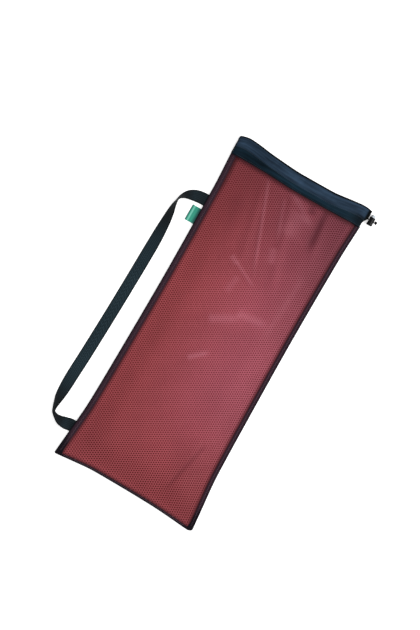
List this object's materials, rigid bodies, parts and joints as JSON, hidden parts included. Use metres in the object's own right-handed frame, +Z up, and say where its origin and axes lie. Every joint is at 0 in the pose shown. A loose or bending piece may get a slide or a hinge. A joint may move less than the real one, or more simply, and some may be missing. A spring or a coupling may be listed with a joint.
{
  "type": "mesh fin bag",
  "caption": "Long flat mesh bag with bound seams, a hollow drawcord header with a spring cord lock, a side carrying strap and a plain tag, lying empty on its back.",
  "frame": {"origin": "on the underside of the back panel, in the middle of the bag, where it rests on the floor", "axes": "+X across the bag away from the strap, +Y along the bag towards the mouth, +Z up through the front panel"},
  "size_m": [0.3912, 0.7405, 0.025],
  "materials": {
    "mesh": "open knitted red mesh, matt",
    "header_cloth": "close woven navy cloth with a faint sheen",
    "binding_tape": "black grosgrain tape, stitched",
    "webbing": "black webbing with a faint blue sheen",
    "tag_cloth": "close woven green tape, plain",
    "cord": "black braided cord",
    "lock_barrel": "glossy black moulding",
    "lock_plunger": "pale grey moulding"
  },
  "bodies": {
    "bag": {"back_panel": "mesh", "front_panel": "mesh", "header": "header_cloth", "left_binding": "binding_tape", "right_binding": "binding_tape", "bottom_binding": "binding_tape", "shoulder_strap": "webbing", "label": "tag_cloth", "drawcord": "cord", "cord_knot": "cord", "cord_lock_barrel": "lock_barrel"},
    "plunger": {"cord_lock_plunger": "lock_plunger"}
  },
  "joints": [
    {"name": "plunger_press", "type": "slide", "parent": "bag", "child": "plunger", "axis": [0, 1, 0], "range_m": [-0.004, 0], "stiffness_N_per_m": 250, "springref_m": 0.004}
  ]
}
